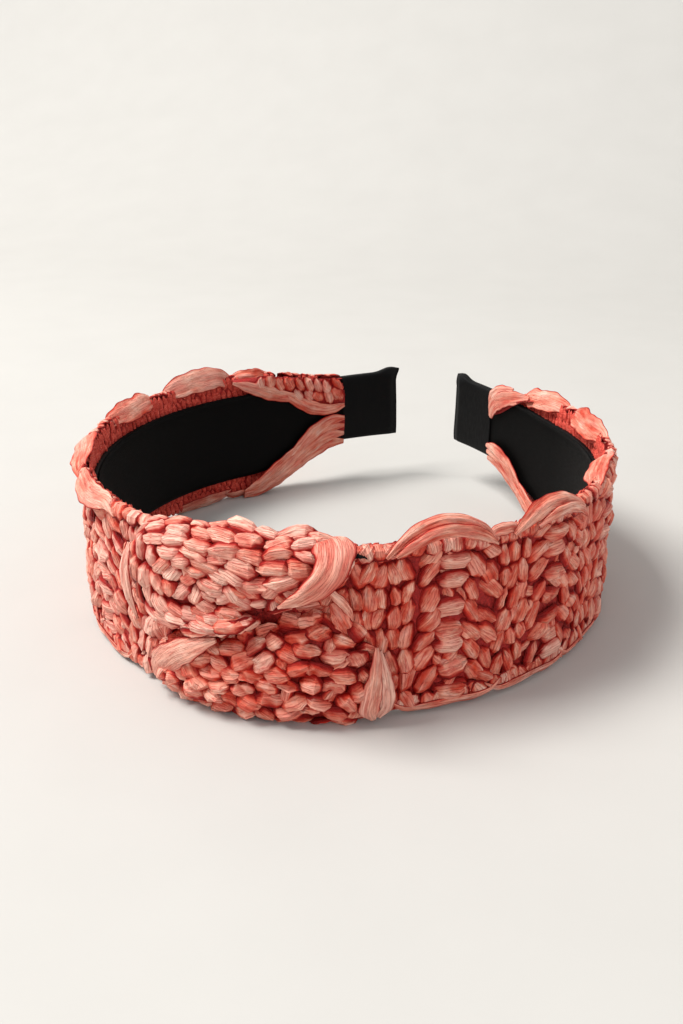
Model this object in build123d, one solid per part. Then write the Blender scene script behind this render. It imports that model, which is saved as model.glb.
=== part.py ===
"""Knotted raffia headband, standing on its edge.

Frame: +Z is up and runs across the band's width, -Y is the knotted crown, +Y the open ends.
The band is described by one plan curve, seen from above, and by offsets from it:
an arc length s is 0 at the crown's centre and grows towards the right end (+X), and an offset r
is 0 in the middle of the band's thickness and positive on its outer side.  All sizes are in mm.
"""
import math
import os

from build123d import *

# ---- plan curve: three arcs on each side of the crown ----
CROWN_RADIUS, CROWN_TURN = 61.0, 27.5      # front of the head, degrees turned
SIDE_RADIUS, SIDE_TURN = 69.4, 102.5       # over the ears
END_RADIUS, END_LENGTH = 250.0, 52.6       # nearly straight ends

# ---- heights ----
REST_Z = 0.0                # the surface that the band stands on
BRAID_LOW, BRAID_TOP = 1.2, 40.0           # raffia strip, without its edge loops
TIP_MIDDLE = 25.0           # the ends sit higher than the middle of the crown
BRAID_TIP_HEIGHT = 21.6
TAPER_START, TAPER_END = 152.0, 187.0      # arc lengths between which the band narrows

# ---- layers, as offsets from the plan curve ----
LINING_R = (-2.5, -1.9)
CORE_R = (-1.9, -0.7)
COVER_R = (-1.9, -0.3)
BRAID_R = (-0.3, 2.5)
FLAP_R = (-4.3, -2.5)
CORE_HEIGHT, CORE_TIP_HEIGHT = 26.0, 19.8
COVER_WALL = 0.4
SLEEVE_WALL = 0.4
SLEEVE_END_WALL = 0.6

# ---- the flex line at each shoulder of the crown ----
FLEX_S = 35.0               # arc length of the flex line
FLEX_GAP = 1.0              # each side stops this far short of it

# ---- edge loops: bowed strands lying along both edges ----
LOOP_FIRST, LOOP_PITCH, LOOP_COUNT = 46.0, 23.5, 5
LOOP_LENGTH, LOOP_RISE, LOOP_THICK = 17.0, 2.8, 3.2
LOOP_MIDDLE_R = 0.9
LOOP_FLAT = 9.0             # length of a lower loop that is pressed flat where it stands

# ---- knot ----
UPPER_LOBE_R = (2.5, 9.0)
LOWER_LOBE_R = (2.5, 8.0)
LOBE_ROUND = 2.0
STRAND_THICK = 1.2
THROAT_THICK = 2.5
RIGHT_LEAF_THICK = 3.5

# Closed smooth outlines of the lobes, as (s, z); the lower one is cut flat where it stands.
UPPER_LOBE = [
    (-22.5, 22.5), (-24.0, 33), (-20.5, 41.4), (-9, 42.8), (8, 42.8), (18.5, 42.2),
    (23, 39), (21.5, 34.5), (15, 31.2), (8, 27.4), (2, 21.8), (-6, 19.6), (-16, 19.8),
]
LOWER_LOBE = [
    (-19, 3.2), (-20, 10), (-16, 17.4), (-6, 17.8), (3, 19.6), (10, 23), (18, 24.8),
    (24, 22), (27, 15), (27.4, 6), (24, -1.5), (4, -2.5), (-15, -1.5),
]
# Strands and folds shaped like a leaf: two ends, then how far each side bows from the line between.
THROAT_FOLD = ((11.5, 25.7), (26.0, 28.3), 1.4, -2.4)
WRAP_STRAND = ((21.5, 42.3), (9.2, 28.3), 3.4, -1.2)
NECK_STRAND = ((25.2, 34.6), (30.4, 22.4), 0.8, -0.8)
LEFT_STRAND = ((-26.8, 35), (-24.8, 18), 0.7, -0.7)
LEFT_LEAF = ((-17.0, 5), (-5.8, 17), 2.7, -2.7)
RIGHT_LEAVES = [((29.0, 16.6), (29.2, 0.6), 1.0, -1.0), ((31.0, 14.5), (32.2, 0.8), 1.0, -1.0)]

BIG = 300.0                 # longer than the band in every direction


def half_length():
    """Arc length from the crown's centre to an end."""
    crown = CROWN_RADIUS * math.radians(CROWN_TURN)
    side = SIDE_RADIUS * math.radians(SIDE_TURN)
    return crown + side + END_LENGTH


def bends():
    """Arc lengths where the plan curve changes its radius, with the radius before each."""
    first = CROWN_RADIUS * math.radians(CROWN_TURN)
    second = first + SIDE_RADIUS * math.radians(SIDE_TURN)
    return [(first, CROWN_RADIUS), (second, SIDE_RADIUS), (half_length(), END_RADIUS)]


def plan(s, r=0.0):
    """Point at arc length s and offset r, and the heading there in radians."""
    side = -1.0 if s < 0 else 1.0
    left_over = abs(s)
    x, y, heading, start = 0.0, CROWN_Y, 0.0, 0.0
    for end, radius in bends():
        step = min(left_over, end - start)
        turned = heading + step / radius
        x += radius * (math.sin(turned) - math.sin(heading))
        y -= radius * (math.cos(turned) - math.cos(heading))
        heading, left_over, start = turned, left_over - step, end
        if left_over <= 0:
            break
    x += r * math.sin(heading)
    y -= r * math.cos(heading)
    return side * x, y, side * heading


# The crown is as far in front of the origin as the ends are behind it.
CROWN_Y = 0.0
SLEEVE_R = (LINING_R[0] - SLEEVE_WALL, COVER_R[1] + SLEEVE_WALL)
BACK_Y = max(plan(half_length(), r)[1] for r in SLEEVE_R)
FRONT_Y = plan(WRAP_STRAND[1][0], UPPER_LOBE_R[1] + STRAND_THICK)[1]
CROWN_Y = -(FRONT_Y + BACK_Y) / 2


def ribbon(s_start, s_end, r_range):
    """Flat face between two offsets, from one arc length to another."""
    breaks = [b for b, _ in bends()[:-1]]
    cuts = [-b for b in breaks] + breaks
    stops = [s_start] + sorted(c for c in cuts if s_start < c < s_end) + [s_end]

    def side_arcs(r):
        arcs = []
        for a, b in zip(stops, stops[1:]):
            points = [plan(s, r)[:2] for s in (a, (a + b) / 2, b)]
            arcs.append(Edge.make_three_point_arc(*[(x, y, 0) for x, y in points]))
        return arcs

    inner, outer = side_arcs(r_range[0]), side_arcs(r_range[1])
    ends = [Edge.make_line(inner[0] @ 0, outer[0] @ 0), Edge.make_line(inner[-1] @ 1, outer[-1] @ 1)]
    return Face(Wire(inner + outer + ends))


def wall(s_start, s_end, r_range, low=-10.0, high=60.0):
    """Upright wall over a ribbon."""
    return Pos(0, 0, low) * extrude(ribbon(s_start, s_end, r_range), high - low, dir=(0, 0, 1))


# ---- side view of the narrowing end, in a plane square to it ----
taper_x, taper_y, TAPER_HEADING = plan((TAPER_START + TAPER_END) / 2)
END_PLANE = Plane(
    origin=(0, 0, 0),
    x_dir=(math.cos(TAPER_HEADING), math.sin(TAPER_HEADING), 0),
    z_dir=(math.sin(TAPER_HEADING), -math.cos(TAPER_HEADING), 0),
)


def along(s):
    """Distance of the plan curve's point at s along the end plane."""
    x, y, _ = plan(s)
    return x * math.cos(TAPER_HEADING) + y * math.sin(TAPER_HEADING)


def s_curve(start, end):
    """Smooth step from one point to another, level at both."""
    middle = (start[0] + end[0]) / 2
    points = [start, (middle, start[1]), (middle, end[1]), end]
    return Edge.make_bezier(*[(x, z, 0) for x, z in points])


def tapered_slab(low, high, tip_low, tip_high):
    """Everything between two heights, narrowing to two others at the right end."""
    e_start, e_end = along(TAPER_START), along(TAPER_END)
    far, near = BIG, -BIG

    def line(a, b):
        return Edge.make_line((*a, 0), (*b, 0))

    outline = Wire([
        line((near, high), (e_start, high)),
        s_curve((e_start, high), (e_end, tip_high)),
        line((e_end, tip_high), (far, tip_high)),
        line((far, tip_high), (far, tip_low)),
        line((far, tip_low), (e_end, tip_low)),
        s_curve((e_end, tip_low), (e_start, low)),
        line((e_start, low), (near, low)),
        line((near, low), (near, high)),
    ])
    return extrude(END_PLANE * Face(outline), BIG, both=True)


BRAID_MIDDLE = (BRAID_LOW + BRAID_TOP) / 2


def slab_about_middle(height, tip_height):
    """Tapered slab of the given heights, centred on the band."""
    return tapered_slab(
        BRAID_MIDDLE - height / 2, BRAID_MIDDLE + height / 2,
        TIP_MIDDLE - tip_height / 2, TIP_MIDDLE + tip_height / 2,
    )


CORE_SLAB = slab_about_middle(CORE_HEIGHT, CORE_TIP_HEIGHT)
COVER_SLAB = slab_about_middle(CORE_HEIGHT + 2 * COVER_WALL, CORE_TIP_HEIGHT + 2 * COVER_WALL)
BRAID_SLAB = slab_about_middle(BRAID_TOP - BRAID_LOW, BRAID_TIP_HEIGHT)
SLEEVE_TIP_HEIGHT = CORE_TIP_HEIGHT + 2 * (COVER_WALL + SLEEVE_WALL)
SLEEVE_SLAB = slab_about_middle(CORE_HEIGHT, SLEEVE_TIP_HEIGHT)

# ---- the stretches of the band, as arc lengths ----
CROWN_SPAN = (-(FLEX_S - FLEX_GAP), FLEX_S - FLEX_GAP)
ARM_START = FLEX_S + FLEX_GAP
ARM_END = half_length()
CORE_END = ARM_END - SLEEVE_END_WALL
BRAID_END = TAPER_END


def save(name, shape):
    """Write one sub-part."""
    export_step(shape, f"parts/{name}.step")


def solids_of(shape):
    """One compound of all the solids in a shape or a list of shapes."""
    shapes = shape if isinstance(shape, list) else [shape]
    return Compound([solid for item in shapes for solid in item.solids()])


# ================= crown: layers =================
def crown_layers():
    """Hoop, its black cover, the lining and the strip behind the knot."""
    start, end = CROWN_SPAN
    middle = BRAID_MIDDLE
    core_half = CORE_HEIGHT / 2
    cover_half = core_half + COVER_WALL
    core = wall(start, end, CORE_R, middle - core_half, middle + core_half)
    channel = wall(start, end, COVER_R, middle - cover_half, middle + cover_half) - core
    lining = wall(start, end, LINING_R, middle - cover_half, middle + cover_half)
    strip = wall(start, end, BRAID_R, BRAID_LOW, BRAID_TOP)
    return {
        "hoop_core_crown": core,
        "core_cover_crown": channel,
        "lining_crown": lining,
        "knot_back_strip": strip,
    }


# ================= crown: knot =================
def on_crown(face, r_range):
    """The part of the crown's outer layers seen through a face in the (x, z) plane."""
    return extrude(Plane.XZ * face, BIG, both=True) & wall(*CROWN_SPAN, r_range)


def lobe(points, r_range):
    """Lobe of the knot with a closed smooth outline given as (s, z)."""
    flat = [(plan(s)[0], z) for s, z in points]
    return on_crown(Face(Wire([Spline(*flat, periodic=True).edge()])), r_range)


def leaf(start, end, right_bow, left_bow, r_range):
    """Leaf-shaped strand from one (s, z) point to another."""
    (x0, z0), (x1, z1) = [(plan(s)[0], z) for s, z in (start, end)]
    length = math.hypot(x1 - x0, z1 - z0)
    across = ((z1 - z0) / length, -(x1 - x0) / length)

    def side(bow):
        middle = ((x0 + x1) / 2 + bow * across[0], (z0 + z1) / 2 + bow * across[1], 0)
        return Edge.make_three_point_arc((x0, z0, 0), middle, (x1, z1, 0))

    return on_crown(Face(Wire([side(right_bow), side(left_bow)])), r_range)


def puffed(shape):
    """Round the edges of a lobe's outer face."""
    curved = [face for face in shape.faces() if face.geom_type == GeomType.CYLINDER]
    outer = min(curved, key=lambda face: face.center().Y)
    return fillet(outer.edges(), LOBE_ROUND)


def above_ground(shape):
    """The part of a shape above the surface that the band stands on."""
    return shape - Pos(0, 0, REST_Z - BIG / 2) * Box(BIG, BIG, BIG)


def knot():
    """Two lobes, the fold between them and the loose strands on them."""
    def over(r):
        return r, r + STRAND_THICK

    strip, upper, lower = BRAID_R[1], UPPER_LOBE_R[1], LOWER_LOBE_R[1]
    return {
        "knot_upper_lobe": puffed(lobe(UPPER_LOBE, UPPER_LOBE_R)),
        "knot_lower_lobe": above_ground(puffed(lobe(LOWER_LOBE, LOWER_LOBE_R))),
        "knot_throat_fold": leaf(*THROAT_FOLD, (strip, strip + THROAT_THICK)),
        "knot_wrap_strand": leaf(*WRAP_STRAND, over(upper)),
        "knot_neck_strand": leaf(*NECK_STRAND, over(strip)),
        "knot_left_strand": leaf(*LEFT_STRAND, over(strip)),
        "knot_left_leaf": leaf(*LEFT_LEAF, over(lower)),
        "knot_right_leaves": [leaf(*one, (strip, strip + RIGHT_LEAF_THICK)) for one in RIGHT_LEAVES],
    }


# ================= arms =================
def edge_loop(s, upper):
    """Bowed strand on the upper or lower edge; a lower one is flat where it stands."""
    x, y, heading = plan(s, LOOP_MIDDLE_R)
    frame = Plane(
        origin=(x, y, BRAID_TOP if upper else BRAID_LOW),
        x_dir=(math.cos(heading), math.sin(heading), 0),
        z_dir=(math.sin(heading), -math.cos(heading), 0),
    )
    half, flat = LOOP_LENGTH / 2, LOOP_FLAT / 2
    base = Edge.make_line((-half, 0, 0), (half, 0, 0))
    if upper:
        bow = [Edge.make_three_point_arc((half, 0, 0), (0, LOOP_RISE, 0), (-half, 0, 0))]
    else:
        drop = BRAID_LOW - REST_Z
        shoulder = ((half + flat) / 2 + 0.3, -0.75 * drop)
        bow = [
            Edge.make_three_point_arc((half, 0, 0), (*shoulder, 0), (flat, -drop, 0)),
            Edge.make_line((flat, -drop, 0), (-flat, -drop, 0)),
            Edge.make_three_point_arc((-flat, -drop, 0), (-shoulder[0], shoulder[1], 0), (-half, 0, 0)),
        ]
    return extrude(frame * Face(Wire([base] + bow)), LOOP_THICK / 2, both=True)


def flap(s_start, start_z, end_z, upper):
    """Edge of the strip folded inwards over the lining, up to a line from start_z to end_z."""
    beyond = 60.0 if upper else -20.0
    e_start, e_end = along(s_start) - 1, along(BRAID_END) + 1
    corners = [(e_start, start_z), (e_end, end_z), (e_end, beyond), (e_start, beyond)]
    outline = Wire.make_polygon([(e, z, 0) for e, z in corners])
    region = extrude(END_PLANE * Face(outline), BIG, both=True)
    plate = wall(s_start, BRAID_END, FLAP_R) & BRAID_SLAB & region
    fold = (wall(s_start, BRAID_END, (FLAP_R[1], BRAID_R[0])) & BRAID_SLAB & region) - FOLD_CLEARANCE
    return plate + fold


FOLD_CLEARANCE = slab_about_middle(
    CORE_HEIGHT + 2 * COVER_WALL + 0.2, CORE_TIP_HEIGHT + 2 * COVER_WALL + 0.2
)
# The right end's folds are narrower and begin further out than the left end's.
FLAPS = {
    "left": {"upper": (148.0, 36.0, 26.2), "lower": (140.0, 7.0, 24.6)},
    "right": {"upper": (166.0, 36.5, 29.0), "lower": (150.0, 6.0, 20.0)},
}


def arm_layers(side):
    """Layers of one arm, its loops, flaps and end sleeve, as if it were the right arm."""
    core = wall(ARM_START, CORE_END, CORE_R) & CORE_SLAB
    channel = (wall(ARM_START, CORE_END, COVER_R) & COVER_SLAB) - core
    lining = wall(ARM_START, CORE_END, LINING_R) & COVER_SLAB
    strip = wall(ARM_START, BRAID_END, BRAID_R) & BRAID_SLAB
    ribbon_box = wall(BRAID_END, ARM_END, SLEEVE_R) & SLEEVE_SLAB
    inside = wall(BRAID_END, CORE_END, (LINING_R[0], COVER_R[1])) & COVER_SLAB
    loops = [LOOP_FIRST + i * LOOP_PITCH for i in range(LOOP_COUNT)]
    return {
        "hoop_core": core,
        "core_cover": channel,
        "lining": lining,
        "raffia_strip": strip,
        "tip_sleeve": ribbon_box - inside,
        "upper_edge_loops": [edge_loop(s, True) for s in loops],
        "lower_edge_loops": [edge_loop(s, False) for s in loops],
        "upper_flap": flap(*FLAPS[side]["upper"], upper=True),
        "lower_flap": flap(*FLAPS[side]["lower"], upper=False),
    }


for name, shape in (crown_layers() | knot()).items():
    save(name, solids_of(shape))

for name, shape in arm_layers("right").items():
    save(f"right_{name}", solids_of(shape))

for name, shape in arm_layers("left").items():
    save(f"left_{name}", solids_of(solids_of(shape).mirror(Plane.YZ)))
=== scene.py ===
"""A wide raffia headband with a twisted knot: its looks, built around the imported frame.

Most of it is drawn in band space, in millimetres: s runs along the band from the middle of
the crown (positive on the right arm), r outwards from the middle line, and z up.
band_point() bends that space round the head, stops it at the table, and turns it into metres.
A surface is a function of two numbers, p and q, that gives a point of band space.
Everything woven is made of leaves: short, closed, crinkled lengths of raffia.
"""

import math

import bpy
import numpy as np
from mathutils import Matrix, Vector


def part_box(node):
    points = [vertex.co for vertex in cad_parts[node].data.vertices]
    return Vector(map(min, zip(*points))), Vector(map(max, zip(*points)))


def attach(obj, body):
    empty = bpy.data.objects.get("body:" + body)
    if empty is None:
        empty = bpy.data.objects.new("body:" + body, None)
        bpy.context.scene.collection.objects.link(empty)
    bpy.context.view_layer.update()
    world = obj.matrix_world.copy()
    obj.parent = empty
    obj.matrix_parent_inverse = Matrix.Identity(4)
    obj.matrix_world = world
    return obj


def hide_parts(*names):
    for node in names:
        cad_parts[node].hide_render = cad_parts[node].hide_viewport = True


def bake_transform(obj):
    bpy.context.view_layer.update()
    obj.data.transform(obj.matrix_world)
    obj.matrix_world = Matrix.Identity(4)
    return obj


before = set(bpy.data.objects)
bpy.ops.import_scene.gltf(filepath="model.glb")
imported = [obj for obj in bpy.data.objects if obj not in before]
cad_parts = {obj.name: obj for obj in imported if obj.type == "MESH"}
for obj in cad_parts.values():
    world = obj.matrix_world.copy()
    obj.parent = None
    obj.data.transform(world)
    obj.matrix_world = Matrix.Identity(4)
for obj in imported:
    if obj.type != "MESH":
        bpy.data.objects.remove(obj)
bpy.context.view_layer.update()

MM = 0.001
SEED = 41
SIDES = {"left": -1, "right": 1}

# The band's middle line: three arcs on each side of the crown.
CROWN_RADIUS, CROWN_TURN = 61.0, math.radians(27.5)
SIDE_RADIUS, SIDE_TURN = 69.4, math.radians(102.5)
END_RADIUS, END_LENGTH = 250.0, 52.6
ARCS = [
    (CROWN_RADIUS, CROWN_RADIUS * CROWN_TURN),
    (SIDE_RADIUS, SIDE_RADIUS * SIDE_TURN),
    (END_RADIUS, END_LENGTH),
]

# The braid's two edges, and where it narrows towards the tips.
BRAID_LOW, BRAID_TOP = 1.2, 40.0
END_LOW, END_TOP = 14.2, 35.8
TAPER_START, TAPER_END = 152.0, 187.0
BRAID_MIDDLE = 20.6

# Layers, as offsets outwards from the middle line.
BRAID_IN, BRAID_OUT = -0.3, 2.5
BACKING_OUT = 1.1
LEAF_BASE = 1.0
CORE_R = (-1.8, -0.75)
COVER_R = (-1.92, -0.42)
LINING_R = (-2.5, -2.0)
FLAP_R = (-3.3, -2.6)
CORE_HALF, CORE_END_HALF = 13.0, 9.9
CORE_END = TAPER_END + 17
TABLE_GAP = 0.1

# Each arm flexes about a line near s = 35; fabric bends over this stretch.
FLEX_FROM, FLEX_TO = 27.0, 43.0

CROWN_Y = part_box("knot_back_strip")[0].y / MM + BRAID_OUT


# ---- band space


def plan(s, r):
    """x and y of the points at arc length s and offset r."""
    s, r = np.broadcast_arrays(np.asarray(s, float), np.asarray(r, float))
    along, done = np.abs(s), 0.0
    x, y, heading = np.zeros(s.shape), np.full(s.shape, CROWN_Y), np.zeros(s.shape)
    for radius, length in ARCS:
        turned = heading + np.clip(along - done, 0, length) / radius
        x += radius * (np.sin(turned) - np.sin(heading))
        y -= radius * (np.cos(turned) - np.cos(heading))
        heading = turned
        done += length
    past = np.maximum(along - done, 0)
    x += past * np.cos(heading)
    y += past * np.sin(heading)
    return np.where(s < 0, -1, 1) * (x + r * np.sin(heading)), y - r * np.cos(heading)


def band_point(points):
    """Points of band space, bent round the head, in metres."""
    x, y = plan(points[..., 0], points[..., 1])
    return np.stack([x, y, np.maximum(points[..., 2], TABLE_GAP)], axis=-1) * MM


def smoothstep(t):
    t = np.clip(t, 0, 1)
    return t * t * (3 - 2 * t)


def taper(s):
    return smoothstep((np.abs(s) - TAPER_START) / (TAPER_END - TAPER_START))


def tapering(wide, narrow):
    """A function of s that goes from wide along the arm to narrow at the tip."""
    return lambda s: wide + (narrow - wide) * taper(s)


top_edge, low_edge = tapering(BRAID_TOP, END_TOP), tapering(BRAID_LOW, END_LOW)
core_half = tapering(CORE_HALF, CORE_END_HALF)
core_middle = tapering(BRAID_MIDDLE, (END_LOW + END_TOP) / 2)


def distances(points):
    """How far along a line each of its points is."""
    return np.append(0, np.cumsum(np.linalg.norm(np.diff(points, axis=0), axis=1)))


def smooth_line(points, count, closed=False):
    """A cubic through the rows of points, at count even steps along it."""
    points = np.asarray(points, float)
    if closed:
        points = np.vstack([points[-2:], points, points[:3]])
    knots = distances(points[:, :3])
    slopes = np.gradient(points, knots, axis=0)
    ends = (knots[2], knots[-3]) if closed else (knots[0], knots[-1])
    at = np.linspace(*ends, count, endpoint=not closed)
    i = np.clip(np.searchsorted(knots, at, side="right") - 1, 0, len(knots) - 2)
    gap = (knots[i + 1] - knots[i])[:, None]
    f = (at - knots[i])[:, None] / gap
    return (
        (2 * f**3 - 3 * f**2 + 1) * points[i]
        + (f**3 - 2 * f**2 + f) * gap * slopes[i]
        + (3 * f**2 - 2 * f**3) * points[i + 1]
        + (f**3 - f**2) * gap * slopes[i + 1]
    )


# ---- surfaces


def band_face(r, sign):
    """The face of the band at offset r: p is sign * s, so that 1 faces out and -1 faces in."""

    def surface(p, z):
        inside = np.clip(z, low_edge(p) - 0.1, top_edge(p) + 0.2)
        return np.stack(np.broadcast_arrays(sign * p, r, inside), axis=-1)

    return surface


band_out, band_in = band_face(LEAF_BASE, 1), band_face(BRAID_IN, -1)
flap_in = band_face(FLAP_R[0], -1)

RIM_RADIUS, RIM_MIDDLE = 1.25, 0.75


def rim(edge, side):
    """A surface round one edge of the band; q runs over the edge and is 0 on it."""

    def surface(s, q):
        a = np.clip(q / RIM_RADIUS, -math.pi / 2, math.pi / 2)
        down = RIM_RADIUS * (1 - np.cos(a)) + np.maximum(np.abs(q) - RIM_RADIUS * math.pi / 2, 0)
        r = RIM_MIDDLE - side * RIM_RADIUS * np.sin(a)
        return np.stack(np.broadcast_arrays(s, r, edge(s) - side * down), axis=-1)

    return surface


def unit(vectors):
    return vectors / np.maximum(np.linalg.norm(vectors, axis=-1, keepdims=True), 1e-9)


def place(surface, p, q, h):
    """The points h above a surface, in metres."""
    step = 0.02
    along = surface(p + step, q) - surface(p - step, q)
    across = surface(p, q + step) - surface(p, q - step)
    return band_point(surface(p, q) + h[..., None] * unit(np.cross(across, along)))


def stretch(surface, p, q):
    """How many millimetres one unit of p and one unit of q make, at (p, q)."""
    step = 0.05
    along = np.linalg.norm(surface(p + step, q) - surface(p - step, q), axis=-1)
    across = np.linalg.norm(surface(p, q + step) - surface(p, q - step), axis=-1)
    return np.maximum(along / (2 * step), 0.05), np.maximum(across / (2 * step), 0.05)


def around(surface, p, q, angle):
    """A function that finds the p and q at x along and y across a leaf, in millimetres."""
    per_p, per_q = stretch(surface, p, q)

    def spot(x, y):
        return (
            p + (x * np.cos(angle) - y * np.sin(angle)) / per_p,
            q + (x * np.sin(angle) + y * np.cos(angle)) / per_q,
        )

    return spot


# ---- leaves and strands


def section(top, under):
    """Points round a section, closer together at its edges: how far across, and which face."""
    upper = np.sin(np.linspace(math.pi / 2, -math.pi / 2, top))
    across = np.concatenate([upper, np.linspace(-1, 1, under + 2)[1:-1]])
    return across, np.arange(top + under) < top


def crumple(u, v, along, across, count, rng):
    """Flat facets between random heights, 0 to 1, at along x across even places on each leaf."""
    height = 0
    for i in range(along):
        near_u = np.maximum(0, 1 - np.abs((u + 1) / 2 * (along - 1) - i))
        for j in range(across):
            near_v = np.maximum(0, 1 - np.abs((v + 1) / 2 * (across - 1) - j))
            height = height + near_u * near_v * rng.uniform(0, 1, (count, 1, 1))
    return height


# Where along a leaf its outline has corners, with the least and greatest half width there.
OUTLINE = {-1.0: (0.05, 0.6), -0.5: (0.75, 1.12), 0.35: (0.8, 1.18), 1.0: (0.05, 0.55)}
LEAF_STATIONS = np.array([-1.0, -0.8, -0.5, -0.1, 0.35, 0.75, 1.0])
LEAF_SECTION = (6, 2)


def ragged(u, count, rng):
    """Half the width of each leaf along it: pinched ends, and straight runs between corners."""
    width, corners = 0, list(OUTLINE)
    for i, at in enumerate(corners):
        reach = [abs(at - corners[j]) for j in (i - 1, i + 1) if 0 <= j < len(corners)]
        near = np.maximum(0, 1 - np.maximum((at - u) / reach[0], (u - at) / reach[-1]))
        width = width + near * rng.uniform(*OUTLINE[at], (count, 1, 1))
    return width


def tent(v, top):
    """1 on a fold line at top and 0 at both edges."""
    return np.minimum((1 - v) / (1 - top), (1 + v) / (1 + top))


def leaves(surface, rows, rng, crinkle=1.2, rigid=False, flat=3.2, pale=(0.0, 1.0)):
    """Leaves sewn on a surface. Each row is (p, q, angle, length, width, height, lift).

    Returns their points, as (leaf, station, point round, 3), and what the material reads.
    A rigid leaf keeps its size where the surface's p and q lines draw together. flat is how
    soon a leaf levels off from its edges, and pale is the range of the leaves' tones: each
    leaf's tone is drawn at random within it, and a paler range on lit parts and a redder one
    on shaded parts is painted light and shade.
    """
    rows = np.asarray(rows, float)
    p, q, angle, length, width, height, lift = rows.T[:, :, None, None]
    count = len(rows)

    def vary(low, high):
        return rng.uniform(low, high, (count, 1, 1))

    v, over = section(*LEAF_SECTION)
    u = LEAF_STATIONS[:, None]
    shape = (count, len(LEAF_STATIONS), len(v))
    half = np.where(v > 0, ragged(u, count, rng), ragged(u, count, rng))
    fold = 0.55 * crumple(u, v, 3, 6, count, rng) + 0.45 * crumple(u, v, 7, 8, count, rng)
    bow = np.minimum(1, (1 - np.abs(u)) * 2.6 + 0.12) * (1 - 0.3 * u * u)
    ridge = np.minimum(1, np.maximum(tent(v, vary(-0.4, 0.4)), 0) * flat) * (1 - 0.25 * v * v)
    above = height * bow * ridge * (1.2 - crinkle * vary(0.5, 0.95) * fold)
    above = above + height * vary(-0.4, 0.4) * v * bow
    below = -0.3 * height * (1 - v * v) * bow
    h = lift + np.where(over, above, below) + height * vary(-0.3, 0.3) * u
    y = width / 2 * half * v + width * vary(-0.12, 0.12) * (1 - u * u)
    x = length / 2 * u + vary(-0.35, 0.35) * y
    spot = around(surface, p, q, angle)
    if rigid:
        points = set_on(surface, spot, length, width, x, y, h)
    else:
        points = place(surface, *spot(x, y), h)
    # crest is 0 underneath, at the edges and in the folds, and 1 on the ridges; the material paints
    # shade where it is low and a highlight where it is high.
    rise = np.clip((bow * ridge - 0.3) / 0.3, 0, 1)
    crest = np.where(over, rise * (1.0 - 0.6 * fold), 0)
    seed = vary(0, 100)
    fibre = np.stack(np.broadcast_arrays(x, width / 2 * v, seed), axis=-1)
    return {
        "points": points,
        "fibre": np.broadcast_to(fibre, (*shape, 3)),
        "tone": np.broadcast_to(vary(*pale), shape),
        "crest": np.broadcast_to(crest, shape),
    }


def fill_gaps(surface, rows, spots, gap, rng):
    """Small low leaves at the spots that are further than gap from every leaf in rows."""
    taken = []
    for p, q, angle, length, *_ in rows:
        spot = around(surface, p, q, angle)
        taken += [surface(*spot(f * length, 0)) for f in (-0.25, 0, 0.25)]
    taken, added = np.array(taken), []
    for p, q in spots:
        here = surface(p, q)
        if np.min(np.linalg.norm(taken - here, axis=1)) > gap:
            taken = np.vstack([taken, here])
            added.append((p, q, rng.uniform(0, math.pi), 4.8 * rng.uniform(0.8, 1.15),
                          3.4 * rng.uniform(0.8, 1.15), 1.5 * rng.uniform(0.8, 1.2), -0.25))
    return added


def spots_over(ps, qs, rng):
    """Places in random order over the ranges ps and qs."""
    places = [(p, q) for p in ps for q in qs]
    return rng.permutation(places)


def set_on(surface, spot, length, width, x, y, h):
    """Leaf points set on a surface in each leaf's own frame, bent by the surface's curve."""

    def at(dx, dy):
        return surface(*spot(dx, dy))

    small, third = 0.05, 1 / 3
    here = at(0, 0)
    along = at(small, 0) - at(-small, 0)
    normal = unit(np.cross(at(0, small) - at(0, -small), along))
    along = unit(along)
    side = np.cross(along, normal)

    def curve(dx, dy, reach):
        middle = (at(dx, dy) + at(-dx, -dy)) / 2 - here
        return np.clip(-np.sum(middle * normal, axis=-1) / reach**2, 0, 0.12)

    bend_x = curve(length * third, 0, length * third)
    bend_y = curve(0, width * third, width * third)
    up = h - bend_x * x**2 - bend_y * y**2
    return band_point(
        here + x[..., None] * along + y[..., None] * side + up[..., None] * normal
    )


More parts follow.
